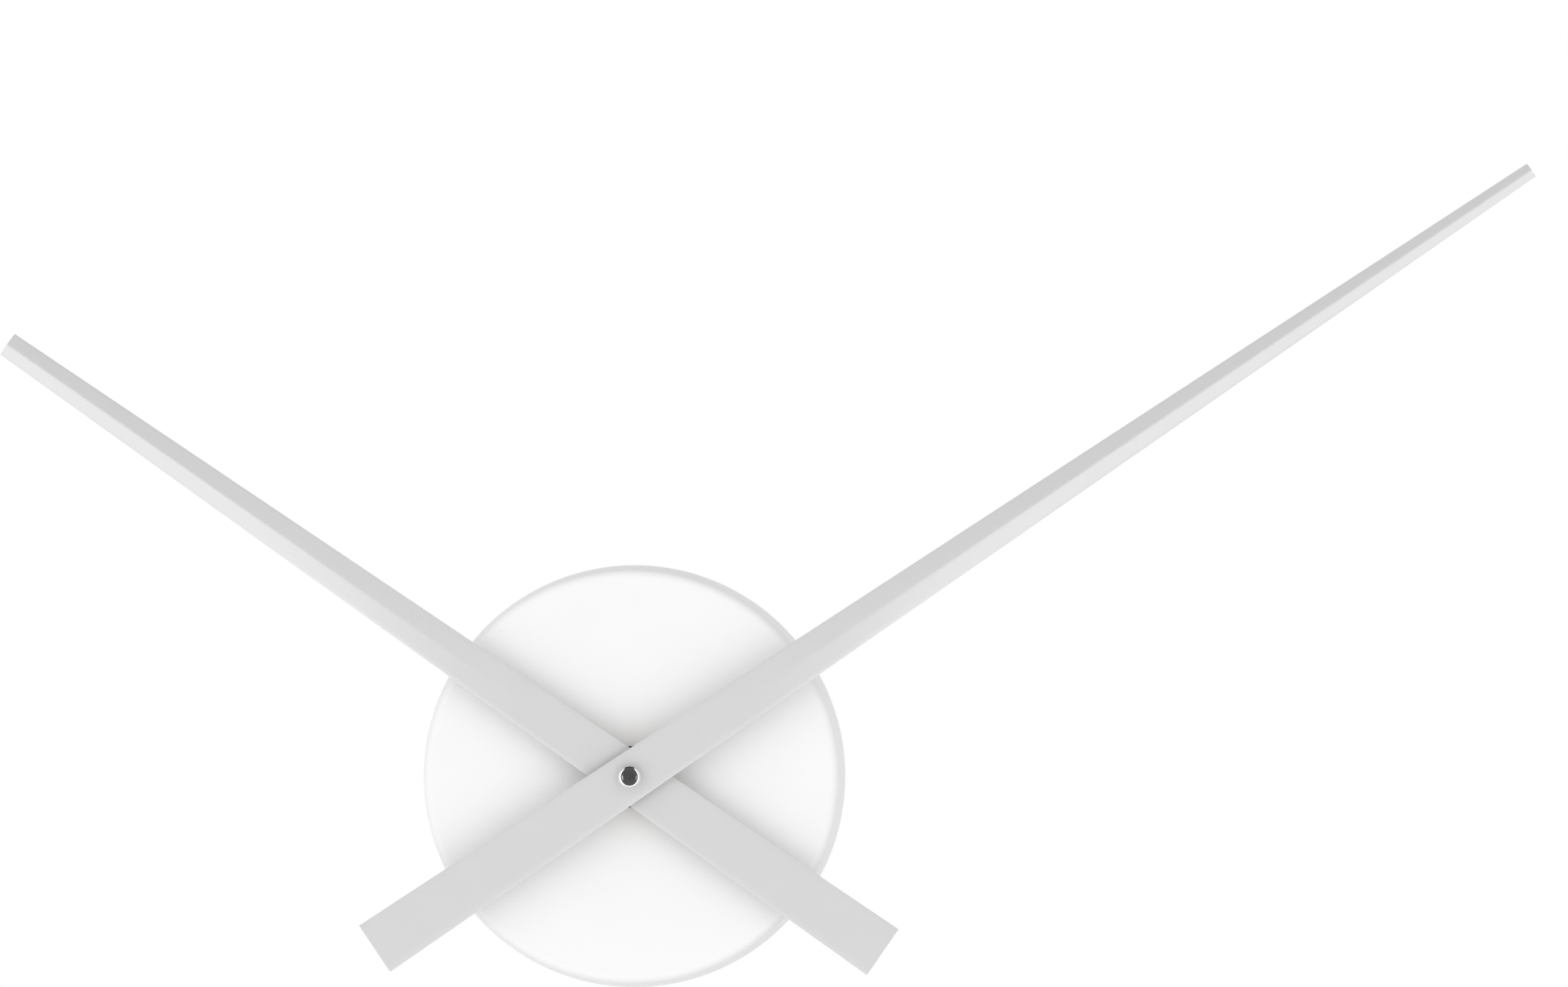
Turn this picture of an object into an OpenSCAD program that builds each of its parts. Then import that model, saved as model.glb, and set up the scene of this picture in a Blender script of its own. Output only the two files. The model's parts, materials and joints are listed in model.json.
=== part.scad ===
// Wall clock: two long tapered hands on a round case, with the quartz movement inside it.
// The clock is drawn in a wall frame, x right, y up and z out of the wall, and stand() turns
// that into the row frame: +X right, +Z up, the front facing -Y. The origin is on the wall
// plane, on the axis that the hands turn about.

/* [Case] */
// Diameter of the case where it meets the wall
case_d = 120; // [116:1:126]
// Depth of the case, from the wall to its face
case_depth = 28; // [27.5:0.5:29]
// Thickness of the case's side
case_wall = 2.2; // [1.8:0.1:2.4]
// Amount that the side leans in over its depth
draft = 1.6; // [0.5:0.1:2]
// Radius of the soft edge between face and side
edge_r = 2.6; // [2:0.2:4]

/* [Hands] */
// Length of the minute hand from the axis to its tip
minute_len = 304; // [260:1:320]
// Length of the hour hand from the axis to its tip
hour_len = 213; // [180:1:230]
// Length of both tails behind the axis
tail_len = 86; // [70:1:95]
// Width of both hands at the end of the tail
tail_w = 15.6; // [14:0.1:17]
// Width of both hands at the axis
axis_w = 13.4; // [12.6:0.1:14]
// Width of the minute hand at its tip
tip_w = 4.3; // [3:0.1:6]
// Thickness of the hands' sheet
blade_t = 0.8; // [0.6:0.1:1]
// Slope of each side of the folded ridge
fold_angle = 18; // [8:1:22]
// Angle of the minute hand, clockwise from twelve
minute_angle = 56.06; // [0:0.01:360]
// Angle of the hour hand, clockwise from twelve
hour_angle = 304.75; // [0:0.01:360]

/* [Movement] */
// Side of the square movement
move_side = 56; // [56:0.5:57]
// Thickness of the movement's walls
move_wall = 1.2; // [1:0.1:1.3]

/* [Wall hanger] */
// Radius of the keyhole's round entry
entry_r = 4.5; // [4:0.1:4.8]
// Width of the keyhole's slot
slot_w = 4.4; // [3.6:0.1:5]

/* [Hidden] */
$fn = 64;

// Depths, as distances out from the wall, from the case's face back to the movement's rear
case_r = case_d / 2;
face_t = case_wall + 0.2;
inner_face = case_depth - face_t;
gasket_t = 0.8;
hanger_t = 1;
move_front = inner_face - gasket_t - hanger_t;
move_depth = 16.6;
move_rear = move_front - move_depth;
floor_z = move_front - move_wall;             // the inner side of the movement's front
cover_t = 1.2;
cover_z = move_rear + cover_t;
half = move_side / 2;
room = half - move_wall;                      // the movement's inner half width
corner_r = 3;
partition_t = 0.8;
room_bottom = -11.4;                          // the gear room's lower end, above the battery
bay_top = room_bottom - partition_t;

// Spindle stack in front of the case's face
bore_r = 5;                                   // outside radius of the threaded bushing
loose = 0.1;                                  // clearance of the plates round the bushing
washer_r = 8.6;
washer_t = 0.8;
nut_flats = 14;
nut_t = 2.6;
bushing_front = case_depth + 4.8;
flange_t = 0.5;
flange_r = 6.4;
hour_blade_z = case_depth + 7;
minute_blade_z = hour_blade_z + 3.4;
rivet_t = 0.2;
collet_r = 4.6;
collet_boss_r = 3.3;
collet_t = 1.6;
hour_tube_r = 2.5;
pipe_r = 1.7;
seat_r = 1.35;                                // the flatted end of the pipe, and its thread
seat_flats = 2.2;
running = 0.06;                               // radial clearance of a shaft in its bore
cap_r = 3.15;
cap_h = 3.7;
cap_edge = 0.85;
cap_dome_r = 20;

// Gear train: teeth, module in millimetres, and the direction from each axis to the next
m_train = 0.25;
m_motion = 0.3;
n_rotor = 10;
n_inter = 60;
n_inter_pinion = 12;
n_seconds = 60;
n_seconds_pinion = 8;
n_third = 64;
n_third_pinion = 8;
n_centre = 60;
n_minute_pinion = 14;
n_motion = 42;
n_motion_pinion = 12;
n_hour = 48;
n_knob = 14;
m_centre = m_train * (n_seconds_pinion + n_third) / (n_third_pinion + n_centre);
m_hour = m_motion * (n_minute_pinion + n_motion) / (n_motion_pinion + n_hour);
third_dir = 170;
inter_dir = 100;
rotor_dir = 30;
motion_dir = -12;
knob_dir = 40;

function polar(r, a) = [r * cos(a), r * sin(a)];
function centres(m, a, b) = m * (a + b) / 2;
third_at = polar(centres(m_train, n_seconds_pinion, n_third), third_dir);
inter_at = polar(centres(m_train, n_seconds, n_inter_pinion), inter_dir);
rotor_at = inter_at + polar(centres(m_train, n_rotor, n_inter), rotor_dir);
motion_at = polar(centres(m_motion, n_minute_pinion, n_motion), motion_dir);
knob_at = motion_at + polar(centres(m_motion, n_motion, n_knob), knob_dir);

// The turn of gear b at which its gap meets a tooth of gear a, which is turned by turn_a and
// sees b in the direction dir
function meshed(dir, turn_a, n_a, n_b) =
    dir + 180 + (dir - turn_a) * n_a / n_b - 180 / n_b;
motion_turn = meshed(motion_dir, 0, n_minute_pinion, n_motion);
hour_turn = meshed(motion_dir + 180, 0, n_motion_pinion, n_hour);
knob_turn = meshed(knob_dir, motion_turn, n_motion, n_knob);
third_pinion_turn = meshed(third_dir, 0, n_centre, n_third_pinion);
seconds_pinion_turn = meshed(third_dir + 180, 0, n_third, n_seconds_pinion);
inter_pinion_turn = meshed(inter_dir, 0, n_seconds, n_inter_pinion);
rotor_turn = meshed(rotor_dir, 0, n_inter, n_rotor);

// Layers of the train, each the rear side of its wheel
wheel_t = 1;
hour_z = floor_z - 2;
motion_z = floor_z - 3.6;
centre_z = floor_z - 5.8;
third_z = floor_z - 8.2;
seconds_z = floor_z - 9.8;
inter_z = floor_z - 11.4;
bridge_z = floor_z - 13.6;
bridge_t = 1;
bridge_top = bridge_z + bridge_t;
over = 0.3;                                   // a pinion stands past its wheel by this much
play = 0.1;                                   // end play of an arbor
arbor_r = 0.5;
pivot_r = 0.35;
pivot_len = 0.9;
boss_r = 1.1;
socket_depth = 1.2;
post_r = 1.3;
peg_r = 0.7;
bridge_posts = [[-13, 13.5], [11.5, 8.2], [-15.5, -7.4], [14, -8.9]];
third_boss_z = floor_z - 4;
rotor_boss_z = floor_z - 3.6;
pin_r = 0.4;
blind_depth = 0.8;                            // holes that stop inside the movement's front
motion_post_r = 0.8;
knob_shaft_r = 1;
knob_r = 5.4;
knob_t = 2.7;

// Stepper motor
stator_z = floor_z - 6;
stator_t = 1;
stator_left = -11;
stator_right = 15;
leg_w = 3.5;
rotor_gap = 0.4;
stator_neck = 0.5;
coil_y = 21.5;
core_z = stator_z - stator_t;
core_w = 3;
coil_z = core_z + stator_t / 2;
coil_gap = 0.3;
coil_left = stator_left + leg_w + coil_gap;
coil_right = stator_right - leg_w - coil_gap;
coil_flange = 8.4;
coil_flange_t = 0.8;
coil_tube_r = 2.1;
coil_r = 3.9;
magnet_r = 2.2;
magnet_t = 1.8;
screw_r = 0.8;
screw_head_r = 1.5;
screw_head_t = 0.9;
screw_len = 3.5;
screw_boss_r = 1.6;
motor_screw_at = [[stator_left + leg_w / 2, coil_y], [stator_right - leg_w / 2, coil_y]];

// Circuit board
board_low = [-26.2, -5.4];
board_high = [-15.2, 25];
board_z = floor_z - 11.4;
board_t = 1;
board_top = board_z + board_t;
board_screw_at = [[-23.6, 1.5], [-23.6, 22.8]];
chip_at = [-20.5, 8.5];
crystal_at = [-18, 14];
lead_r = 0.12;

// Battery, an AA cell, and its contacts
cell_r = 7.1;
cell_len = 50.2;
nub_len = 1.2;
nub_r = 2.7;
cell_y = -19.4;
cell_z = move_rear + 0.5 + cell_r;
contact_t = 0.3;
bump_h = 0.9;
plus_x = room - contact_t - bump_h;
minus_x = plus_x - cell_len;
end_t = 0.4;
strip_w = 3;
tab_y = board_low[1] + 1.5;                   // how far the contacts' tabs reach up the board
spring_wire_r = 0.25;

// Wall hanger
hanger_w = 26;
hanger_bottom = -13;
hanger_riser_y = half + 0.9;
hanger_tab_z = 3;
hanger_top = 49;
hanger_corner = 5;
bend_r = 0.8;
entry_y = 36;
slot_top = 43;

// ---- helpers ----

module stand() {
    rotate([90, 0, 0]) children();
}

// A flat shape drawn out from depth a to depth b
module slab(a, b) {
    translate([0, 0, a]) linear_extrude(b - a) children();
}

module rod(at, r, a, b) {
    translate([at[0], at[1], a]) cylinder(r = r, h = b - a);
}

// A hole right through whatever lies between depths a and b
module drill(at, r, a, b) {
    rod(at, r, a - 1, b + 1);
}

module tube(at, r_out, r_in, a, b) {
    slab(a, b) translate(at) difference() {
        circle(r_out);
        circle(r_in);
    }
}

module block(low, high) {
    translate(low) cube(high - low);
}

// A rod along x
module bar(x0, x1, y, z, r) {
    translate([x0, y, z]) rotate([0, 90, 0]) cylinder(r = r, h = x1 - x0);
}

module rounded_square(side, r) {
    for (turn = [0, 90])
        rotate(turn) square([side, side - 2 * r], center = true);
    for (x = [-1, 1], y = [-1, 1])
        translate([x, y] * (side / 2 - r)) circle(r);
}

// One tooth as points of radius and angle, thinned a little for backlash. A wheel's flanks are
// straight, and a pinion's run radially below its pitch circle.
tooth_half = 0.68;
tip_thinning = 0.33;
root_flare = 0.25;
dedendum = 1.15;
addendum = 0.85;
function degrees_at(length, r) = length / r * 180 / PI;

function wheel_tooth(n, m) = let (
    r = m * n / 2,
    foot = degrees_at((tooth_half + root_flare) * m, r),
    tip = degrees_at((tooth_half - tip_thinning) * m, r)
) [[r - dedendum * m, -foot], [r + addendum * m, -tip],
    [r + addendum * m, tip], [r - dedendum * m, foot]];

function pinion_tooth(n, m) = let (
    r = m * n / 2,
    side = degrees_at(tooth_half * m, r),
    tip = degrees_at((tooth_half - tip_thinning) * m, r + addendum * m)
) [[r - dedendum * m, -side], [r, -side], [r + addendum * m, -tip],
    [r + addendum * m, tip], [r, side], [r - dedendum * m, side]];

module toothed(tooth, n, turn, a, b) {
    slab(a, b) polygon([for (i = [0:n - 1], p = tooth) polar(p[0], p[1] + turn + i * 360 / n)]);
}

module wheel(n, m, turn, a) {
    toothed(wheel_tooth(n, m), n, turn, a, a + wheel_t);
}

module pinion(n, m, turn, a, b) {
    toothed(pinion_tooth(n, m), n, turn, a, b);
}

// ---- case and fastenings ----

// Half of the shell's outside, radius against depth: rim, leaning side, soft edge and face
module shell_outside() {
    edge_top = case_depth - edge_r;
    rim_round = 0.4;
    edge_at = [case_r - draft - edge_r, edge_top];
    polygon([[0, 0], [case_r - rim_round, 0], [case_r, rim_round],
        edge_at + polar(edge_r, atan(draft / edge_top)), edge_at,
        [edge_at[0], case_depth], [0, case_depth]]);
    translate(edge_at) circle(edge_r);
}

module shell_inside() {
    inner_r = case_r - case_wall;
    inner_edge = edge_r - case_wall / 2;
    edge_at = [inner_r - draft - inner_edge, inner_face - inner_edge];
    polygon([[0, -1], [inner_r, -1], [inner_r, 0], edge_at + [inner_edge, 0], edge_at,
        [edge_at[0], inner_face], [0, inner_face]]);
    translate(edge_at) circle(inner_edge);
}

// Ribs inside the face hold the movement's corners, so that it can't turn
module corner_ribs() {
    rib_t = 1.2;
    rib_h = 4;
    rib_len = 9;
    near = half + 0.3;
    far = near + rib_t;
    for (turn = [0:90:270]) rotate(turn) {
        block([near, far - rib_len, inner_face - rib_h], [far, far, inner_face]);
        block([far - rib_len, near, inner_face - rib_h], [far, far, inner_face]);
    }
}

module case_shell() {
    color("white") stand() {
        difference() {
            rotate_extrude() difference() {
                shell_outside();
                shell_inside();
            }
            drill([0, 0], bore_r + loose, inner_face, case_depth);
        }
        corner_ribs();
    }
}

module bend(at, turn) {
    translate(at) rotate(turn) intersection() {
        difference() {
            circle(bend_r + hanger_t);
            circle(bend_r);
        }
        square(bend_r + hanger_t);
    }
}

// Side view of the hanger, depth against height: base, riser over the movement, and tab
module hanger_profile() {
    tab_face = hanger_tab_z + hanger_t;
    riser_top = hanger_riser_y + hanger_t;
    translate([move_front, hanger_bottom])
        square([hanger_t, hanger_riser_y - bend_r - hanger_bottom]);
    bend([move_front - bend_r, hanger_riser_y - bend_r], 0);
    translate([tab_face + bend_r, hanger_riser_y])
        square([move_front - tab_face - 2 * bend_r, hanger_t]);
    bend([tab_face + bend_r, riser_top + bend_r], 180);
    translate([hanger_tab_z, riser_top + bend_r])
        square([hanger_t, hanger_top - riser_top - bend_r]);
}

// Front view of the hanger, with the tab's upper corners rounded
module hanger_outline() {
    wide = hanger_w / 2;
    straight_top = hanger_top - hanger_corner;
    translate([-wide, hanger_bottom]) square([hanger_w, straight_top - hanger_bottom]);
    translate([hanger_corner - wide, hanger_bottom])
        square([hanger_w - 2 * hanger_corner, hanger_top - hanger_bottom]);
    for (side = [-1, 1])
        translate([side * (wide - hanger_corner), straight_top]) circle(hanger_corner);
}

module keyhole() {
    rear = hanger_tab_z;
    front = hanger_tab_z + hanger_t;
    drill([0, entry_y], entry_r, rear, front);
    drill([0, slot_top], slot_w / 2, rear, front);
    block([-slot_w / 2, entry_y, rear - 1], [slot_w / 2, slot_top, front + 1]);
}

module wall_hanger() {
    color("silver") stand() difference() {
        intersection() {
            translate([hanger_w / 2, 0, 0]) rotate([0, -90, 0])
                linear_extrude(hanger_w) hanger_profile();
            slab(0, case_depth) hanger_outline();
        }
        drill([0, 0], bore_r + loose, move_front, move_front + hanger_t);
        keyhole();
    }
}

module rubber_gasket() {
    gasket_r = 10.5;
    color("dimgray") stand()
        tube([0, 0], gasket_r, bore_r + loose, inner_face - gasket_t, inner_face);
}

module front_washer() {
    color("black") stand()
        tube([0, 0], washer_r, bore_r + loose, case_depth, case_depth + washer_t);
}

module hex_nut() {
    chamfer = 0.5;
    corner = nut_flats / 2 / cos(30);
    color("gold") stand() translate([0, 0, case_depth + washer_t]) difference() {
        intersection() {
            cylinder(r = corner, h = nut_t, $fn = 6);
            rotate_extrude() polygon([[0, 0], [corner, 0], [corner, nut_t - chamfer],
                [corner - 2 * chamfer, nut_t], [0, nut_t]]);
        }
        drill([0, 0], bore_r, 0, nut_t);
    }
}

// ---- the movement's case ----

module upper_outline() {
    intersection() {
        rounded_square(move_side, corner_r);
        translate([-half, bay_top]) square([move_side, half - bay_top]);
    }
}

module wall_outline() {
    difference() {
        rounded_square(move_side, corner_r);
        rounded_square(2 * room, corner_r - move_wall);
    }
}

// Bosses and posts that stand on the inner side of the front
module front_posts() {
    for (at = bridge_posts) {
        rod(at, post_r, bridge_top, floor_z);
        rod(at, peg_r, bridge_z, bridge_top);
    }
    for (at = motor_screw_at) rod(at, screw_boss_r, stator_z + stator_t, floor_z);
    for (at = board_screw_at) rod(at, screw_boss_r, board_top, floor_z);
    rod(third_at, boss_r, third_boss_z, floor_z);
    rod(rotor_at, boss_r, rotor_boss_z, floor_z);
    rod(motion_at, motion_post_r, motion_z - 0.2, floor_z);
}

module front_holes() {
    drill([0, 0], bore_r, floor_z, move_front);
    rod([0, 0], flange_r, floor_z - 1, floor_z + flange_t);
    for (at = motor_screw_at) rod(at, screw_r, core_z, core_z + screw_len + 1);
    for (at = board_screw_at) rod(at, screw_r, board_z, board_z + screw_len + 1);
    rod(third_at, pivot_r + running, third_boss_z - 1, third_boss_z + socket_depth);
    rod(rotor_at, pivot_r + running, rotor_boss_z - 1, rotor_boss_z + socket_depth);
    rod(inter_at, pin_r, floor_z - 1, floor_z + blind_depth);
    rod(knob_at, motion_post_r + running, floor_z - 1, floor_z + blind_depth);
}

// Slots in the partition, one at each side, through which the battery contacts pass
module contact_slots() {
    gap = 0.2;
    for (side = [-1, 1]) translate([side * (room - contact_t / 2 - gap / 2), 0, 0])
        block([-(contact_t + gap) / 2, bay_top - 1, board_top - gap],
            [(contact_t + gap) / 2, room_bottom + 1, board_top + strip_w + gap]);
}

module movement_front_case() {
    color("black") stand() difference() {
        union() {
            slab(floor_z, move_front) rounded_square(move_side, corner_r);
            slab(cover_z, floor_z) wall_outline();
            // the walls round the battery run right back to the rear
            slab(move_rear, cover_z) difference() {
                wall_outline();
                upper_outline();
            }
            block([-room, bay_top, cover_z], [room, room_bottom, floor_z]);
            front_posts();
        }
        front_holes();
        contact_slots();
    }
}

module movement_rear_cover() {
    color("black") stand() difference() {
        slab(move_rear, cover_z) upper_outline();
        drill(knob_at, knob_shaft_r + running, move_rear, cover_z);
    }
}

module threaded_bushing() {
    color("gold") stand() difference() {
        union() {
            rod([0, 0], bore_r, floor_z, bushing_front);
            rod([0, 0], flange_r, floor_z, floor_z + flange_t);
        }
        drill([0, 0], hour_tube_r + running, floor_z, bushing_front);
    }
}

module train_bridge() {
    color("ivory") stand() difference() {
        slab(bridge_z, bridge_top) polygon([[-17.2, -9.6], [-14.8, 15.2], [-10, 16.6], [9, 16.6],
            [13.2, 10.5], [12.6, 6.2], [11.4, 2], [15.8, -6.4], [15.8, -10.6], [12, -10.8]]);
        for (at = [third_at, [0, 0], rotor_at])
            drill(at, pivot_r + running, bridge_z, bridge_top);
        drill(inter_at, pin_r, bridge_z, bridge_top);
        for (at = bridge_posts) drill(at, peg_r, bridge_z, bridge_top);
    }
}

module intermediate_pin() {
    color("silver") stand() rod(inter_at, pin_r, bridge_z, floor_z + blind_depth);
}

// ---- stepper motor ----

module stator_plate() {
    hole_r = magnet_r + rotor_gap;
    reach = hole_r + stator_neck;
    color("gray") stand() difference() {
        slab(stator_z, stator_z + stator_t) {
            translate([stator_left, rotor_at[1] - reach])
                square([stator_right - stator_left, 2 * reach]);
            for (x = [stator_left, stator_right - leg_w])
                translate([x, rotor_at[1]]) square([leg_w, coil_y + leg_w / 2 - rotor_at[1]]);
        }
        drill(rotor_at, hole_r, stator_z, stator_z + stator_t);
        for (at = motor_screw_at) drill(at, screw_r, stator_z, stator_z + stator_t);
    }
}

module coil_core() {
    color("gray") stand() difference() {
        block([stator_left, coil_y - core_w / 2, core_z],
            [stator_right, coil_y + core_w / 2, core_z + stator_t]);
        for (at = motor_screw_at) drill(at, screw_r, core_z, core_z + stator_t);
    }
}

module coil_bobbin() {
    wide = coil_flange / 2;
    color("navajowhite") stand() difference() {
        union() {
            bar(coil_left, coil_right, coil_y, coil_z, coil_tube_r);
            for (x = [coil_left, coil_right - coil_flange_t])
                block([x, coil_y - wide, coil_z - wide],
                    [x + coil_flange_t, coil_y + wide, coil_z + wide]);
        }
        block([coil_left - 1, coil_y - core_w / 2, core_z],
            [coil_right + 1, coil_y + core_w / 2, core_z + stator_t]);
    }
}

module coil_winding() {
    left = coil_left + coil_flange_t;
    right = coil_right - coil_flange_t;
    color("peru") stand() difference() {
        bar(left, right, coil_y, coil_z, coil_r);
        bar(left - 1, right + 1, coil_y, coil_z, coil_tube_r);
    }
}

module coil_leads() {
    color("peru") stand() for (y = [coil_y + 2, coil_y + 3])
        bar(board_high[0] - 1, coil_left, y, board_top + lead_r, lead_r);
}

// A pan-head screw pointing to the front, with the head's underside at depth z
module screw(at, z) {
    translate([at[0], at[1], z]) difference() {
        union() {
            rod([0, 0], screw_head_r, -screw_head_t, 0);
            rod([0, 0], screw_r, 0, screw_len);
        }
        for (turn = [0, 90]) translate([0, 0, -screw_head_t]) rotate(turn)
            cube([1.8, 0.4, screw_head_t], center = true);
    }
}

module motor_screws() {
    color("silver") stand() for (at = motor_screw_at) screw(at, core_z);
}

module board_screws() {
    color("silver") stand() for (at = board_screw_at) screw(at, board_z);
}

// ---- electronics and battery ----

module circuit_board() {
    color("darkgreen") stand() difference() {
        slab(board_z, board_top) translate(board_low) square(board_high - board_low);
        for (at = board_screw_at) drill(at, screw_r, board_z, board_top);
    }
}

// A shallow dome of black resin over the chip
module chip_cap() {
    spread = 3.2;
    height = 1.2;
    dome = (spread * spread + height * height) / (2 * height);
    color("black") stand() intersection() {
        translate([chip_at[0], chip_at[1], board_top + height - dome]) sphere(dome);
        rod(chip_at, spread + 1, board_top, board_top + 2 * height);
    }
}

module quartz_crystal() {
    can_r = 1;
    can_len = 6.2;
    reach = 1.4;
    color("silver") stand() translate([crystal_at[0], crystal_at[1], board_top]) {
        translate([0, 0, can_r]) rotate([-90, 0, 0]) cylinder(r = can_r, h = can_len);
        for (side = [-1, 1]) translate([side * 0.45, -reach, 0]) {
            translate([0, 0, can_r]) rotate([-90, 0, 0]) cylinder(r = lead_r, h = reach);
            cylinder(r = lead_r, h = can_r + lead_r);
        }
    }
}

module contact_plate(x) {
    block([x, cell_y - 4, cell_z - 5], [x + contact_t, cell_y + 4, cell_z + 5]);
}

// A strip that stands on its edge, at the depth of the board's front side
module contact_strip(low, high) {
    block([low[0], low[1], board_top], [high[0], high[1], board_top + strip_w]);
}

module positive_contact() {
    x = room - contact_t;
    tab_x = -19.6;
    bump_r = 1.5;
    color("silver") stand() {
        contact_plate(x);
        bar(plus_x, x, cell_y, cell_z, bump_r);
        contact_strip([x, cell_y + 4], [room, room_bottom + contact_t]);
        contact_strip([tab_x, room_bottom], [room, room_bottom + contact_t]);
        block([tab_x, room_bottom, board_top], [tab_x + 2, tab_y, board_top + contact_t]);
    }
}

module negative_contact() {
    color("silver") stand() {
        contact_plate(-room);
        contact_strip([-room, cell_y + 4], [contact_t - room, tab_y]);
        block([-room, tab_y - 2, board_top], [2 - room, tab_y, board_top + contact_t]);
    }
}

// Conical battery spring, a round wire swept along a helix, flat for half a turn at each end
module negative_spring() {
    sides = 8;
    per_turn = 20;
    turns = 2.5;
    wide = 3.6;
    narrow = 1.9;
    start = contact_t - room + spring_wire_r;
    travel = minus_x - spring_wire_r - start;
    last = per_turn * turns;
    rings = [for (i = [0:last]) let (
        t = i / last,
        a = 360 * i / per_turn,
        r = wide + (narrow - wide) * t,
        rise = travel * max(0, min(1, (t * turns - 0.5) / (turns - 1)))
    ) [for (j = [0:sides - 1]) let (
        across = r + spring_wire_r * cos(360 * j / sides),
        along = start + rise + spring_wire_r * sin(360 * j / sides)
    ) [along, cell_y + across * cos(a), cell_z + across * sin(a)]]];
    walls = [for (i = [0:last - 1], j = [0:sides - 1]) let (
        a = i * sides + j,
        b = i * sides + (j + 1) % sides
    ) each [[a, b, b + sides], [a, b + sides, a + sides]]];
    near_end = [for (j = [sides - 1:-1:0]) j];
    far_end = [for (j = [0:sides - 1]) last * sides + j];
    color("silver") stand() polyhedron([for (ring = rings) each ring],
        concat(walls, [near_end, far_end]));
}

module battery_can() {
    color("teal") stand()
        bar(minus_x + end_t, plus_x - nub_len - end_t, cell_y, cell_z, cell_r);
}

module battery_positive_cap() {
    shoulder = plus_x - nub_len;
    color("silver") stand() {
        bar(shoulder - end_t, shoulder, cell_y, cell_z, cell_r - 0.6);
        bar(shoulder, plus_x, cell_y, cell_z, nub_r);
    }
}

module battery_negative_base() {
    color("silver") stand() bar(minus_x, minus_x + end_t, cell_y, cell_z, cell_r - 1.2);
}

// ---- hands ----

ridge_start = 28;
ridge_full = 150;
blade_steps = 6;

// Half the width of the blank at a distance s from the axis, negative along the tail
function blade_half(s) = s < 0
    ? axis_w / 2 - s / tail_len * (tail_w - axis_w) / 2
    : axis_w / 2 - s / minute_len * (axis_w - tip_w) / 2;
function ease(t) = t * t * (3 - 2 * t);
// Height of the ridge, which grows out of the flat sheet and then keeps its slope
function ridge(s) = blade_half(s) * tan(fold_angle)
    * ease(max(0, min(1, (s - ridge_start) / (ridge_full - ridge_start))));

// A folded sheet along y, six points to a section: lower edge and ridge, then upper
module blade(length, z, angle) {
    stations = concat([-tail_len, 0],
        [for (i = [0:blade_steps]) ridge_start + (ridge_full - ridge_start) * i / blade_steps],
        [length]);
    last = len(stations) - 1;
    points = [for (s = stations, rise = [0, blade_t], side = [-1, 0, 1])
        [side * blade_half(s), s, rise + (side == 0 ? ridge(s) : 0)]];
    // the order of a section's points round its outline
    outline = [0, 1, 2, 5, 4, 3];
    walls = [for (i = [0:last - 1], j = [0:5]) let (
        a = i * 6 + outline[j],
        b = i * 6 + outline[(j + 1) % 6]
    ) each [[a, b + 6, a + 6], [a, b, b + 6]]];
    section = [[0, 1, 4], [0, 4, 3], [1, 2, 5], [1, 5, 4]];
    tail_end = [for (f = section) [f[0], f[2], f[1]]];
    tip_end = [for (f = section) f + [1, 1, 1] * last * 6];
    translate([0, 0, z]) rotate(-angle) polyhedron(points, concat(walls, tail_end, tip_end));
}

// The flatted end of the minute pipe, which turns the minute hand
module seat(a, b) {
    rotate(-minute_angle) intersection() {
        rod([0, 0], seat_r, a, b);
        block([-seat_flats / 2, -seat_r, a], [seat_flats / 2, seat_r, b]);
    }
}

module minute_hand() {
    color("lightgray") stand() difference() {
        blade(minute_len, minute_blade_z, minute_angle);
        seat(minute_blade_z - 1, minute_blade_z + blade_t + 1);
    }
}

// Half of the closed nut's outside: straight side, round edge and a slightly domed front
module cap_outside() {
    flat_r = cap_r - cap_edge;
    crown = cap_dome_r - sqrt(cap_dome_r * cap_dome_r - flat_r * flat_r);
    side_h = cap_h - crown - cap_edge;
    square([cap_r, side_h]);
    square([flat_r, cap_h]);
    translate([flat_r, side_h]) circle(cap_edge);
}

module cap_nut() {
    thread_depth = 2.2;
    color("silver") stand() translate([0, 0, minute_blade_z + blade_t]) difference() {
        intersection() {
            rotate_extrude() cap_outside();
            translate([0, 0, cap_h - cap_dome_r]) sphere(cap_dome_r);
        }
        rod([0, 0], seat_r, -1, thread_depth);
    }
}

module minute_pipe() {
    rear = centre_z - over;
    seat_front = minute_blade_z + blade_t;
    color("gold") stand() difference() {
        union() {
            rod([0, 0], pipe_r, rear, minute_blade_z);
            seat(minute_blade_z, seat_front);
            rod([0, 0], seat_r, seat_front, seat_front + 2);
            pinion(n_minute_pinion, m_motion, 0, motion_z - over, motion_z + wheel_t + over);
        }
        rod([0, 0], pivot_r + running, rear - 1, rear + socket_depth);
    }
}

module centre_wheel() {
    hub_r = 3;
    hub_t = 1.5;
    color("whitesmoke") stand() difference() {
        union() {
            wheel(n_centre, m_centre, 0, centre_z);
            rod([0, 0], hub_r, centre_z, centre_z + hub_t);
        }
        drill([0, 0], pipe_r, centre_z, centre_z + hub_t);
    }
}

module hour_hand() {
    color("lightgray") stand() difference() {
        blade(hour_len, hour_blade_z, hour_angle);
        drill([0, 0], collet_boss_r, hour_blade_z, hour_blade_z + blade_t);
    }
}

// Where the hour wheel's tube and the collet's rivet end
hour_tube_front = hour_blade_z + blade_t + rivet_t;

module hour_hand_collet() {
    rear = hour_blade_z - collet_t;
    color("gold") stand() difference() {
        union() {
            rod([0, 0], collet_r, rear, hour_blade_z);
            rod([0, 0], collet_boss_r, hour_blade_z, hour_tube_front);
        }
        drill([0, 0], hour_tube_r, rear, hour_tube_front);
    }
}

// ---- wheels ----

module hour_wheel() {
    color("whitesmoke") stand() difference() {
        union() {
            wheel(n_hour, m_hour, hour_turn, hour_z);
            rod([0, 0], hour_tube_r, hour_z, hour_tube_front);
        }
        drill([0, 0], pipe_r + running, hour_z, hour_tube_front);
    }
}

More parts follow.
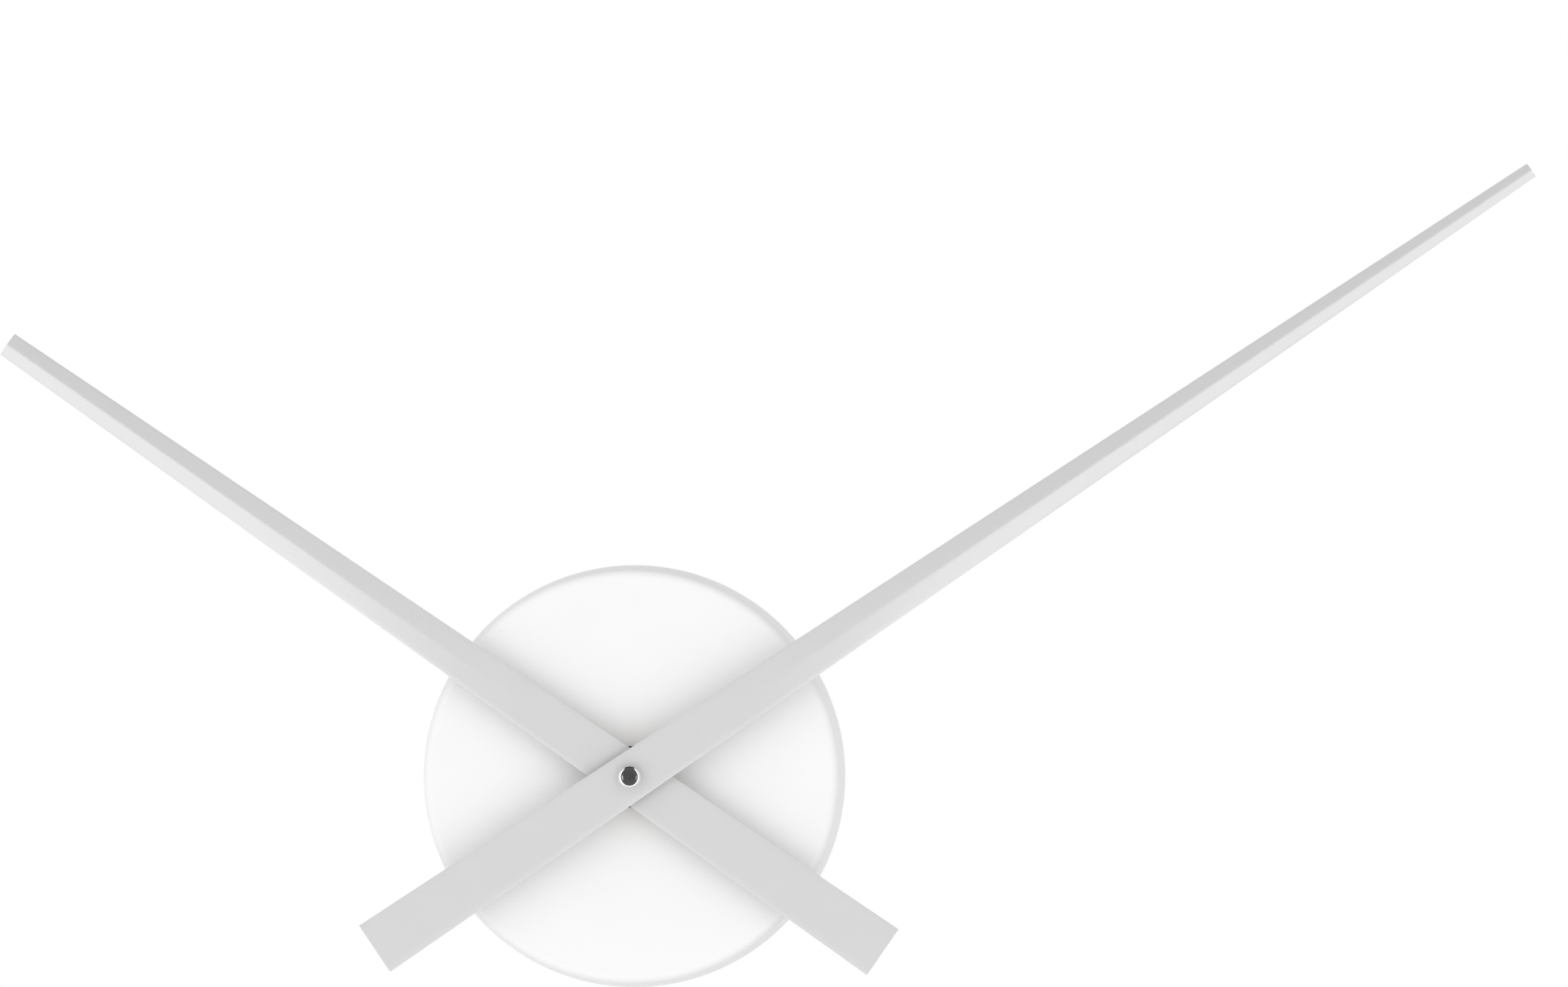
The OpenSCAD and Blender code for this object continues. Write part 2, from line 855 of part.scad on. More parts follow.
module motion_wheel() {
    front = hour_z + wheel_t + over;
    color("whitesmoke") stand() difference() {
        translate([motion_at[0], motion_at[1], 0]) {
            wheel(n_motion, m_motion, motion_turn, motion_z);
            pinion(n_motion_pinion, m_hour, 0, motion_z + wheel_t, front);
        }
        drill(motion_at, motion_post_r + running, motion_z, front);
    }
}

module setting_knob() {
    rear = move_rear - over - knob_t;
    dish_r = 3.6;
    grips = 24;
    grip_r = 0.5;
    pinion_front = motion_z + wheel_t + over;
    color("ivory") stand() translate([knob_at[0], knob_at[1], 0]) {
        difference() {
            rod([0, 0], knob_r, rear, rear + knob_t);
            rod([0, 0], dish_r, rear - 1, rear + 0.6);
            for (i = [0:grips - 1])
                drill(polar(knob_r + grip_r / 2, i * 360 / grips), grip_r, rear, rear + knob_t);
        }
        rod([0, 0], knob_shaft_r, rear + knob_t, motion_z);
        pinion(n_knob, m_motion, knob_turn, motion_z - over, pinion_front);
        rod([0, 0], motion_post_r, pinion_front, floor_z + blind_depth - 0.2);
    }
}

// An arbor between its two shoulders, with a thinner pivot at each end
module arbor(rear, front) {
    rod([0, 0], arbor_r, rear, front);
    rod([0, 0], pivot_r, rear - pivot_len, front + pivot_len);
}

module third_wheel() {
    color("whitesmoke") stand() translate([third_at[0], third_at[1], 0]) {
        wheel(n_third, m_train, 0, third_z);
        pinion(n_third_pinion, m_centre, third_pinion_turn,
            third_z + wheel_t, centre_z + wheel_t + over);
        arbor(bridge_top + play, third_boss_z - play);
    }
}

module seconds_wheel() {
    color("whitesmoke") stand() {
        wheel(n_seconds, m_train, 0, seconds_z);
        pinion(n_seconds_pinion, m_train, seconds_pinion_turn,
            seconds_z + wheel_t, third_z + wheel_t + over);
        arbor(bridge_top + play, centre_z - over - play);
    }
}

module intermediate_wheel() {
    rear = bridge_top + play;
    front = seconds_z + wheel_t + over;
    hub_r = 0.95;
    color("whitesmoke") stand() difference() {
        translate([inter_at[0], inter_at[1], 0]) {
            wheel(n_inter, m_train, 0, inter_z);
            rod([0, 0], hub_r, rear, inter_z);
            pinion(n_inter_pinion, m_train, inter_pinion_turn, inter_z + wheel_t, front);
        }
        drill(inter_at, pin_r + running, rear, front);
    }
}

module rotor_magnet() {
    mid = stator_z + stator_t / 2;
    color("dimgray") stand()
        tube(rotor_at, magnet_r, arbor_r, mid - magnet_t / 2, mid + magnet_t / 2);
}

module rotor_pinion() {
    color("ivory") stand() translate([rotor_at[0], rotor_at[1], 0]) {
        pinion(n_rotor, m_train, rotor_turn, inter_z - over, inter_z + wheel_t + over);
        arbor(bridge_top + play, rotor_boss_z - play);
    }
}

case_shell();
wall_hanger();
rubber_gasket();
front_washer();
hex_nut();
movement_front_case();
movement_rear_cover();
threaded_bushing();
train_bridge();
intermediate_pin();
stator_plate();
coil_core();
coil_bobbin();
coil_winding();
coil_leads();
motor_screws();
circuit_board();
board_screws();
chip_cap();
quartz_crystal();
positive_contact();
negative_contact();
negative_spring();
battery_can();
battery_positive_cap();
battery_negative_base();
minute_hand();
cap_nut();
minute_pipe();
centre_wheel();
hour_hand();
hour_hand_collet();
hour_wheel();
motion_wheel();
setting_knob();
third_wheel();
seconds_wheel();
intermediate_wheel();
rotor_magnet();
rotor_pinion();
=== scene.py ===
import json
import math
from collections import namedtuple

import bmesh
import bpy
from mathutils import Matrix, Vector, noise


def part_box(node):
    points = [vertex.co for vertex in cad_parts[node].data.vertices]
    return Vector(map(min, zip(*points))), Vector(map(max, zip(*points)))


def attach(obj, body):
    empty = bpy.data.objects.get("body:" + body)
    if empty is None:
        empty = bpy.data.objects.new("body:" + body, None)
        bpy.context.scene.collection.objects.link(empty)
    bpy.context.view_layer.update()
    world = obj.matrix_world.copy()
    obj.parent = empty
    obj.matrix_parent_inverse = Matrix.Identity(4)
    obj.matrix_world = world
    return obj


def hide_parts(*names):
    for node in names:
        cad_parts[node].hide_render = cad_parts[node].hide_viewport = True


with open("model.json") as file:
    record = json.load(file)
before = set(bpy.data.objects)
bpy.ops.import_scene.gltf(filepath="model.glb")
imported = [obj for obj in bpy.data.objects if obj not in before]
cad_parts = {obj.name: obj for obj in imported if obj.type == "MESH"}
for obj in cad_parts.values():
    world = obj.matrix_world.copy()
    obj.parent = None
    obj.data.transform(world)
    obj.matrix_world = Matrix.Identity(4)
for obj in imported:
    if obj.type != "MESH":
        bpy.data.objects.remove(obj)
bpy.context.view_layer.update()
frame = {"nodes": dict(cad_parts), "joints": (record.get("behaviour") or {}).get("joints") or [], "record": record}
nodes = frame["nodes"]
MM = 0.001
TAU = 2 * math.pi

# ---------------------------------------------------------------- places taken from the frame

# Pieces are laid out in millimetres in a wall frame: x right, y up, and depth out of the wall
Span = namedtuple("Span", "x0 x1 y0 y1 rear front")


def wall_point(x, y, depth):
    """A point of the wall frame in the row's frame and metres."""
    return Vector((x, -depth, y)) * MM


def span(node):
    """How far a node reaches in x, y and depth, in millimetres."""
    low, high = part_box(node)
    return Span(low.x / MM, high.x / MM, low.z / MM, high.z / MM, -high.y / MM, -low.y / MM)


def face_middle(s):
    """The middle of a span in x and y."""
    return (s.x0 + s.x1) / 2, (s.y0 + s.y1) / 2


def long_axis(s):
    """The middle of a span in y and depth, where its axis along x runs."""
    return (s.y0 + s.y1) / 2, (s.rear + s.front) / 2


def polar(radius, degrees):
    """The point at a radius and an angle from the first axis."""
    angle = math.radians(degrees)
    return radius * math.cos(angle), radius * math.sin(angle)


def ease(value, start, end):
    """0 before start, 1 after end, and a smooth rise between."""
    t = min(max((value - start) / (end - start), 0), 1)
    return t * t * (3 - 2 * t)


joint_at = {j["name"]: (j["pos_m"][0] / MM, j["pos_m"][2] / MM) for j in frame["joints"]}
slot_of = {s["node"]: s["material_slot"] for s in frame["record"]["subparts"]}
case = span("case_shell")
movement = span("movement_front_case")
gasket = span("rubber_gasket")
inner_face = gasket.front
case_r = (case.x1 - case.x0) / 2
# The hole through the washer, the face and the gasket
spindle_hole_r = 5.1
can = span("battery_can")
can_axis = long_axis(can)

# ---------------------------------------------------------------- node materials


def new_material(name):
    """An empty material with one Principled shader: the material, its tree and the shader."""
    material = bpy.data.materials.new(name)
    material.use_nodes = True
    tree = material.node_tree
    tree.nodes.clear()
    output = tree.nodes.new("ShaderNodeOutputMaterial")
    shader = tree.nodes.new("ShaderNodeBsdfPrincipled")
    tree.links.new(shader.outputs[0], output.inputs[0])
    return material, tree, shader


def object_coords(tree):
    """Places in the piece's own frame, in metres."""
    return tree.nodes.new("ShaderNodeTexCoord").outputs["Object"]


def noise_node(tree, scale, detail, roughness, stretch=(1, 1, 1)):
    """3-D noise; scale is bumps per metre, and stretch makes them longer where it is below 1."""
    mapping = tree.nodes.new("ShaderNodeMapping")
    mapping.inputs["Scale"].default_value = stretch
    texture = tree.nodes.new("ShaderNodeTexNoise")
    texture.inputs["Scale"].default_value = scale
    texture.inputs["Detail"].default_value = detail
    texture.inputs["Roughness"].default_value = roughness
    tree.links.new(object_coords(tree), mapping.inputs[0])
    tree.links.new(mapping.outputs[0], texture.inputs["Vector"])
    return texture.outputs[0]


def ramp_node(tree, factor, stops, constant=False):
    """A colour ramp; stops are (place, colour)."""
    ramp = tree.nodes.new("ShaderNodeValToRGB")
    if constant:
        ramp.color_ramp.interpolation = "CONSTANT"
    elements = ramp.color_ramp.elements
    while len(elements) < len(stops):
        elements.new(0.5)
    for element, (place, colour) in zip(elements, stops):
        element.position = place
        element.color = (*colour, 1)
    tree.links.new(factor, ramp.inputs[0])
    return ramp.outputs[0]


def range_node(tree, factor, low, high, start=0.0, end=1.0):
    """factor from start..end to low..high."""
    node = tree.nodes.new("ShaderNodeMapRange")
    node.inputs["From Min"].default_value = start
    node.inputs["From Max"].default_value = end
    node.inputs["To Min"].default_value = low
    node.inputs["To Max"].default_value = high
    tree.links.new(factor, node.inputs[0])
    return node.outputs[0]


def bump_node(tree, height, strength, distance_mm, under=None):
    """Bumps up to distance_mm high, on top of another bump if one is given."""
    node = tree.nodes.new("ShaderNodeBump")
    node.inputs["Strength"].default_value = strength
    node.inputs["Distance"].default_value = distance_mm * MM
    tree.links.new(height, node.inputs["Height"])
    if under is not None:
        tree.links.new(under, node.inputs["Normal"])
    return node.outputs[0]


def mix_node(tree, factor, a, b):
    """Mixes two colours, each a socket or a tuple."""
    node = tree.nodes.new("ShaderNodeMix")
    node.data_type = "RGBA"
    tree.links.new(factor, node.inputs[0])
    for socket, value in ((node.inputs[6], a), (node.inputs[7], b)):
        if isinstance(value, tuple):
            socket.default_value = (*value, 1)
        else:
            tree.links.new(value, socket)
    return node.outputs[2]


def worn_edges(tree):
    """1 on convex edges and 0 elsewhere."""
    geometry = tree.nodes.new("ShaderNodeNewGeometry")
    return range_node(tree, geometry.outputs["Pointiness"], 0, 1, 0.52, 0.6)


def along_x(tree, node):
    """0 at a node's left end and 1 at its right end."""
    split = tree.nodes.new("ShaderNodeSeparateXYZ")
    tree.links.new(object_coords(tree), split.inputs[0])
    low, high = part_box(node)
    return range_node(tree, split.outputs["X"], 0, 1, low.x, high.x)


def finish(name, dark, light, gloss, grain=1500, depth=0.01, metallic=0.0, coat=0.0, wear=None,
           stretch=(1, 1, 1), patches=180):
    """A general finish: two mottled tones, uneven gloss, a fine grain and lighter worn edges."""
    material, tree, shader = new_material(name)
    base = ramp_node(tree, noise_node(tree, patches, 4, 0.6), [(0.3, dark), (0.7, light)])
    if wear is not None:
        base = mix_node(tree, worn_edges(tree), base, wear)
    tree.links.new(base, shader.inputs["Base Color"])
    smudges = noise_node(tree, patches * 2.3, 5, 0.65)
    tree.links.new(range_node(tree, smudges, *gloss), shader.inputs["Roughness"])
    fine = noise_node(tree, grain, 2, 0.5, stretch)
    tree.links.new(bump_node(tree, fine, 0.5, depth), shader.inputs["Normal"])
    shader.inputs["Metallic"].default_value = metallic
    shader.inputs["Coat Weight"].default_value = coat
    shader.inputs["Coat Roughness"].default_value = 0.25
    return material


def case_white():
    """Satin white plastic with a very fine spark-eroded texture."""
    material, tree, shader = new_material("case_white")
    tint = noise_node(tree, 26, 4, 0.6)
    base = ramp_node(tree, tint, [(0.3, (0.793, 0.793, 0.793)), (0.7, (0.807, 0.807, 0.807))])
    tree.links.new(base, shader.inputs["Base Color"])
    gloss = noise_node(tree, 55, 4, 0.6)
    tree.links.new(range_node(tree, gloss, 0.46, 0.54), shader.inputs["Roughness"])
    under = bump_node(tree, noise_node(tree, 900, 2, 0.5), 0.35, 0.02)
    fine = bump_node(tree, noise_node(tree, 3600, 2, 0.5), 0.4, 0.008, under)
    tree.links.new(fine, shader.inputs["Normal"])
    shader.inputs["IOR"].default_value = 1.46
    return material


def hand_silver():
    """Satin silver lacquer on sheet metal: tiny flakes and a faint rolling grain."""
    material, tree, shader = new_material("hand_silver")
    flakes = tree.nodes.new("ShaderNodeTexVoronoi")
    flakes.inputs["Scale"].default_value = 7000
    tree.links.new(object_coords(tree), flakes.inputs["Vector"])
    flake_tint = ramp_node(tree, flakes.outputs["Color"],
                           [(0.0, (0.655, 0.655, 0.655)), (1.0, (0.695, 0.695, 0.695))])
    cloud = range_node(tree, noise_node(tree, 40, 4, 0.6), 0.0, 0.35)
    base = mix_node(tree, cloud, flake_tint, (0.675, 0.675, 0.675))
    tree.links.new(base, shader.inputs["Base Color"])
    gloss = noise_node(tree, 120, 5, 0.6)
    tree.links.new(range_node(tree, gloss, 0.42, 0.5), shader.inputs["Roughness"])
    grain = noise_node(tree, 2600, 3, 0.6)
    tree.links.new(bump_node(tree, grain, 0.2, 0.003), shader.inputs["Normal"])
    shader.inputs["Metallic"].default_value = 0.45
    return material


def chrome():
    """Polished plating with faint smears and hairlines."""
    material, tree, shader = new_material("polished_cap")
    tint = noise_node(tree, 300, 3, 0.5)
    base = ramp_node(tree, tint, [(0.3, (0.80, 0.80, 0.81)), (0.7, (0.86, 0.86, 0.86))])
    tree.links.new(base, shader.inputs["Base Color"])
    smear = noise_node(tree, 900, 5, 0.7)
    tree.links.new(range_node(tree, smear, 0.02, 0.07), shader.inputs["Roughness"])
    hair = noise_node(tree, 2500, 2, 0.5, (1, 8, 1))
    tree.links.new(bump_node(tree, hair, 0.06, 0.002), shader.inputs["Normal"])
    shader.inputs["Metallic"].default_value = 1.0
    return material


def board_green():
    """Solder mask: the copper under it shows as paler winding lanes."""
    material, tree, shader = new_material("board_green")
    lanes = tree.nodes.new("ShaderNodeTexWave")
    lanes.inputs["Scale"].default_value = 190
    lanes.inputs["Distortion"].default_value = 9
    lanes.inputs["Detail Scale"].default_value = 130
    tree.links.new(object_coords(tree), lanes.inputs["Vector"])
    raised = range_node(tree, lanes.outputs["Fac"], 0, 1, 0.45, 0.55)
    base = mix_node(tree, raised, (0.018, 0.13, 0.04), (0.025, 0.17, 0.055))
    tree.links.new(base, shader.inputs["Base Color"])
    gloss = noise_node(tree, 400, 3, 0.5)
    tree.links.new(range_node(tree, gloss, 0.25, 0.4), shader.inputs["Roughness"])
    tree.links.new(bump_node(tree, raised, 0.4, 0.03), shader.inputs["Normal"])
    return material


def battery_sleeve():
    """Printed film: bare metal at both crimped ends, and one pale band towards the plus end."""
    material, tree, shader = new_material("battery_sleeve")
    bare, film = (0.42, 0.43, 0.44), (0.012, 0.07, 0.085)
    band, head = (0.55, 0.57, 0.58), (0.02, 0.16, 0.19)
    stops = [(0.0, bare), (0.03, film), (0.72, band), (0.745, head), (0.972, bare)]
    base = ramp_node(tree, along_x(tree, "battery_can"), stops, constant=True)
    tree.links.new(base, shader.inputs["Base Color"])
    gloss = noise_node(tree, 90, 4, 0.6)
    tree.links.new(range_node(tree, gloss, 0.2, 0.34), shader.inputs["Roughness"])
    ripple = noise_node(tree, 700, 2, 0.5, (0.3, 1, 1))
    tree.links.new(bump_node(tree, ripple, 0.25, 0.02), shader.inputs["Normal"])
    shader.inputs["Metallic"].default_value = 0.35
    shader.inputs["Coat Weight"].default_value = 0.6
    return material


finishes = {
    "case_white": case_white(),
    "hand_silver": hand_silver(),
    "polished_cap": chrome(),
    "board_green": board_green(),
    "battery_sleeve": battery_sleeve(),
    "brass": finish("brass", (0.72, 0.50, 0.20), (0.80, 0.58, 0.27), (0.22, 0.36), 2200, 0.006,
                    metallic=1.0, wear=(0.86, 0.68, 0.38), stretch=(1, 6, 1)),
    "zinc_steel": finish("zinc_steel", (0.50, 0.51, 0.52), (0.62, 0.62, 0.61), (0.3, 0.46),
                         1300, 0.012, metallic=1.0, wear=(0.74, 0.74, 0.73),
                         stretch=(1, 1, 0.2), patches=140),
    "steel": finish("steel", (0.56, 0.56, 0.57), (0.66, 0.66, 0.67), (0.24, 0.38), 1800, 0.008,
                    metallic=1.0, wear=(0.8, 0.8, 0.8)),
    "soft_iron": finish("soft_iron", (0.26, 0.26, 0.28), (0.36, 0.35, 0.35), (0.38, 0.52),
                        metallic=1.0, patches=260),
    "black_rubber": finish("black_rubber", (0.018, 0.018, 0.018), (0.03, 0.03, 0.03),
                           (0.7, 0.85), 1600, 0.02, patches=240),
    "black_plastic": finish("black_plastic", (0.012, 0.012, 0.013), (0.02, 0.02, 0.021),
                            (0.4, 0.54), 1900, 0.02, wear=(0.05, 0.05, 0.05), patches=120),
    "white_acetal": finish("white_acetal", (0.76, 0.76, 0.73), (0.82, 0.82, 0.79), (0.3, 0.42),
                           depth=0.006, patches=200),
    "ivory_plastic": finish("ivory_plastic", (0.70, 0.65, 0.52), (0.76, 0.71, 0.58),
                            (0.38, 0.5), wear=(0.82, 0.79, 0.7), patches=150),
    "copper": finish("copper", (0.62, 0.24, 0.08), (0.78, 0.34, 0.13), (0.22, 0.36), 2600, 0.01,
                     metallic=0.9, coat=0.4, stretch=(6, 1, 1), patches=400),
    "black_resin": finish("black_resin", (0.008, 0.008, 0.008), (0.014, 0.014, 0.014),
                          (0.1, 0.2), 700, 0.02, coat=0.4, patches=300),
    "nickel_strip": finish("nickel_strip", (0.60, 0.58, 0.54), (0.70, 0.68, 0.63), (0.2, 0.34),
                           depth=0.006, metallic=1.0, wear=(0.82, 0.8, 0.76), patches=260),
    "magnet_grey": finish("magnet_grey", (0.12, 0.12, 0.13), (0.2, 0.2, 0.2), (0.4, 0.55), 2200,
                          0.012, metallic=0.8, patches=500),
}

# ---------------------------------------------------------------- mesh helpers


def mark_sharp(mesh, degrees):
    """Shades a mesh smooth, and keeps edges sharper than this angle sharp."""
    bm = bmesh.new()
    bm.from_mesh(mesh)
    limit = math.radians(degrees)
    for edge in bm.edges:
        edge.smooth = len(edge.link_faces) != 2 or edge.calc_face_angle(0) < limit
    for face in bm.faces:
        face.smooth = True
    bm.to_mesh(mesh)
    bm.free()


def soften(piece, width, degrees=35):
    """Rounds the edges that are sharper than an angle by width in millimetres."""
    bevel = piece.modifiers.new("soft edges", "BEVEL")
    bevel.width = width * MM
    bevel.segments = 2
    bevel.limit_method = "ANGLE"
    bevel.angle_limit = math.radians(degrees)
    bevel.harden_normals = True


def to_object(name, bm):
    """Makes an object of a built mesh, its double vertices joined and its faces outwards."""
    bmesh.ops.remove_doubles(bm, verts=bm.verts, dist=0.0005 * MM)
    bmesh.ops.recalc_face_normals(bm, faces=bm.faces)
    mesh = bpy.data.meshes.new(name)
    bm.to_mesh(mesh)
    bm.free()
    piece = bpy.data.objects.new(name, mesh)
    bpy.context.scene.collection.objects.link(piece)
    return piece


def combine(piece, bm, operation):
    """Cuts a closed shape out of a piece (DIFFERENCE) or joins it on (UNION)."""
    tool = to_object("tool", bm)
    modifier = piece.modifiers.new("shape", "BOOLEAN")
    modifier.object = tool
    modifier.operation = operation
    modifier.solver = "EXACT"
    modifier.use_self = True
    bpy.context.view_layer.update()
    evaluated = piece.evaluated_get(bpy.context.evaluated_depsgraph_get())
    piece.data = bpy.data.meshes.new_from_object(evaluated)
    piece.modifiers.clear()
    bpy.data.objects.remove(tool)


def carve(piece, outline, rear, front):
    """Cuts a flat outline out of a piece, from one depth to another."""
    bm = bmesh.new()
    prism(bm, outline, rear, front)
    combine(piece, bm, "DIFFERENCE")


def place(piece, slot, body, replaced, sharp):
    """Gives a piece its shading, its finish, the body it rides on and the nodes it stands for."""
    mark_sharp(piece.data, sharp)
    piece.data.materials.clear()
    piece.data.materials.append(finishes[slot])
    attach(piece, body)
    if replaced:
        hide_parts(*replaced)


def place_mesh(name, bm, slot, body, replaced=(), sharp=40):
    """Makes a piece of a built mesh and places it."""
    piece = to_object(name, bm)
    place(piece, slot, body, replaced, sharp)
    return piece


def lathe(bm, profile, segments=96, at=(0, 0), axis="depth"):
    """Turns a closed outline of (radius, place on the axis) points. The axis runs out of the
    wall at (x, y), or for "x" to the right at (y, depth)."""
    def turned(r, place_on_axis, angle):
        a, b = at[0] + r * math.cos(angle), at[1] + r * math.sin(angle)
        if axis == "x":
            return wall_point(place_on_axis, a, b)
        return wall_point(a, b, place_on_axis)

    rings = [[bm.verts.new(turned(r, p, TAU * i / segments)) for r, p in profile]
             for i in range(segments)]
    for i, ring in enumerate(rings):
        following = rings[(i + 1) % segments]
        for j, (r, _) in enumerate(profile):
            k = (j + 1) % len(profile)
            if r > 0 or profile[k][0] > 0:
                bm.faces.new((ring[j], following[j], following[k], ring[k]))


def arc(centre, radius, start, end, steps=6):
    """Points along an arc round centre, from one angle to another."""
    made = []
    for i in range(steps + 1):
        dx, dy = polar(radius, start + (end - start) * i / steps)
        made.append((centre[0] + dx, centre[1] + dy))
    return made


def ring_profile(inner, outer, rear, front, edge):
    """A washer's section with rounded outer corners and a slightly broken bore."""
    small = edge / 2
    return [(inner, rear + small), (inner + small, rear),
            *arc((outer - edge, rear + edge), edge, -90, 0),
            *arc((outer - edge, front - edge), edge, 0, 90),
            (inner + small, front), (inner, front - small)]


def prism(bm, outline, rear, front):
    """A flat outline drawn out from one depth to another."""
    low = [bm.verts.new(wall_point(x, y, rear)) for x, y in outline]
    high = [bm.verts.new(wall_point(x, y, front)) for x, y in outline]
    bm.faces.new(low)
    bm.faces.new(high)
    for i in range(len(outline)):
        j = (i + 1) % len(outline)
        bm.faces.new((low[i], low[j], high[j], high[i]))


def rectangle(x0, y0, x1, y1, bottom_r=0.0, top_r=0.0):
    """An upright rectangle with rounded lower and upper corners."""
    outline = []
    corners = ((x1, y0, bottom_r, -90), (x1, y1, top_r, 0), (x0, y1, top_r, 90),
               (x0, y0, bottom_r, 180))
    for x, y, r, start in corners:
        if r > 0:
            inward_x = -r if x == x1 else r
            inward_y = -r if y == y1 else r
            outline += arc((x + inward_x, y + inward_y), r, start, start + 90)
        else:
            outline.append((x, y))
    return outline


def circle(at, radius, steps=48):
    """A circle's points, without a double one where it closes."""
    return arc(at, radius, 0, 360 * (steps - 1) / steps, steps - 1)


def wire(bm, points, radius, sides):
    """A round wire through points of the wall frame, with flat ends."""
    points = [Vector(p) for p in points]
    normal = (points[1] - points[0]).orthogonal()
    rings = []
    for i, point in enumerate(points):
        ahead = points[min(i + 1, len(points) - 1)]
        behind = points[max(i - 1, 0)]
        tangent = (ahead - behind).normalized()
        normal = (normal - tangent * normal.dot(tangent)).normalized()
        across = tangent.cross(normal)
        ring = []
        for k in range(sides):
            c, s = polar(radius, 360 * k / sides)
            ring.append(bm.verts.new(wall_point(*(point + normal * c + across * s))))
        rings.append(ring)
    for a, b in zip(rings, rings[1:]):
        for k in range(sides):
            n = (k + 1) % sides
            bm.faces.new((a[k], a[n], b[n], b[k]))
    bm.faces.new(rings[0])
    bm.faces.new(rings[-1])


# ---------------------------------------------------------------- case and fastenings


def make_case():
    """The round shell, turned, with ribs inside that hold the movement and stiffen the face."""
    wall, rim, foot = 2.2, 0.4, 0.3
    draft, edge, lip = 1.6, 2.6, 0.15
    lean = math.degrees(math.atan(draft / (case.front - edge)))
    outer = [*arc((case_r - rim, rim), rim, -90, 0, 4),
             *arc((case_r - draft - edge, case.front - edge), edge, lean, 90, 16)]
    hole = [(spindle_hole_r + lip, case.front), (spindle_hole_r, case.front - lip),
            (spindle_hole_r, inner_face)]
    inner_edge = edge - wall / 2
    inner = arc((case_r - wall - draft - inner_edge, inner_face - inner_edge), inner_edge, 90, lean)
    rear_edge = [(case_r - wall, foot), (case_r - wall + foot, 0)]
    bm = bmesh.new()
    lathe(bm, [*outer, *hole, *inner, *rear_edge], 256)
    piece = to_object("case_body", bm)
    bm = bmesh.new()
    corner_ribs(bm)
    spoke_ribs(bm)
    combine(piece, bm, "UNION")
    place(piece, "case_white", "case", ["case_shell"], sharp=30)


# How far the ribs reach into the face
rib_root = 0.4


def corner_ribs(bm):
    """Four angled ribs that hold the movement's corners."""
    slack, rib_t, rib_len, rib_h = 0.3, 1.2, 9, 4
    near = movement.x1 + slack
    far = near + rib_t
    end = far - rib_len
    for sx in (-1, 1):
        for sy in (-1, 1):
            corner = [(near, end), (far, end), (far, far), (end, far), (end, near), (near, near)]
            prism(bm, [(sx * x, sy * y) for x, y in corner], inner_face - rib_h,
                  inner_face + rib_root)


def spoke_ribs(bm):
    """Low ribs out to the wall that stiffen the face."""
    spokes, start, end, rib_t, rib_h = 12, 45, 56.6, 1.0, 2.6
    for i in range(spokes):
        turn = 360 * (i + 0.5) / spokes
        radial, across = Vector(polar(1, turn)), Vector(polar(rib_t / 2, turn + 90))
        corners = (radial * start - across, radial * end - across,
                   radial * end + across, radial * start + across)
        prism(bm, [tuple(p) for p in corners], inner_face - rib_h, inner_face + rib_root)


def make_face_rings():
    """The washer in front of the face and the gasket behind it, with rounded edges."""
    for name, node, slot, edge in (("washer_ring", "front_washer", "black_plastic", 0.2),
                                   ("gasket_ring", "rubber_gasket", "black_rubber", 0.3)):
        ring = span(node)
        bm = bmesh.new()
        lathe(bm, ring_profile(spindle_hole_r, ring.x1, ring.rear, ring.front, edge))
        place_mesh(name, bm, slot, "case", [node])


def make_collet():
    """The hour hand's collet: a flange behind the sheet and a riveted boss in front of it."""
    collet = span("hour_hand_collet")
    sheet_rear = span("hour_hand").rear
    bore_r, boss_r, edge = 2.5, 3.3, 0.2
    bm = bmesh.new()
    lathe(bm, [(bore_r, collet.rear), *arc((collet.x1 - edge, collet.rear + edge), edge, -90, 0, 3),
               (collet.x1, sheet_rear), (boss_r, sheet_rear),
               *arc((boss_r - edge, collet.front - edge), edge, 0, 90, 3), (bore_r, collet.front)])
    place_mesh("collet_ring", bm, "brass", "hour", ["hour_hand_collet"])


def make_bushing():
    """The threaded tube, with a real helical thread in front of its flange."""
    bushing = span("threaded_bushing")
    crest, root, bore, flange_t = 5.0, 4.65, 2.56, 0.5
    pitch, flank, root_flat, lead_in = 0.75, 1.3, 0.15, 0.4
    segments, rows_per_turn = 72, 8
    start = bushing.rear + flange_t
    rows = int((bushing.front - start) / pitch * rows_per_turn)

    def section(turn):
        """The tube's section at a part of a turn."""
        profile = [(bore, bushing.rear), (bushing.x1, bushing.rear), (bushing.x1, start)]
        for row in range(rows + 1):
            depth = start + (bushing.front - start) * row / rows
            phase = (depth / pitch - turn) % 1
            height = min(max(flank * (1 - abs(2 * phase - 1)) - root_flat, 0), 1)
            taper = max(0, depth - (bushing.front - lead_in))
            profile.append((min(root + (crest - root) * height, crest - taper), depth))
        return [*profile, (bore, bushing.front)]

    bm = bmesh.new()
    columns = []
    for i in range(segments):
        turn = i / segments
        column = []
        for r, depth in section(turn):
            x, y = polar(r, 360 * turn)
            column.append(bm.verts.new(wall_point(x, y, depth)))
        columns.append(column)
    for i, column in enumerate(columns):
        following = columns[(i + 1) % segments]
        for j in range(len(column)):
            k = (j + 1) % len(column)
            bm.faces.new((column[j], following[j], following[k], column[k]))
    place_mesh("bushing_thread", bm, "brass", "case", ["threaded_bushing"], sharp=70)


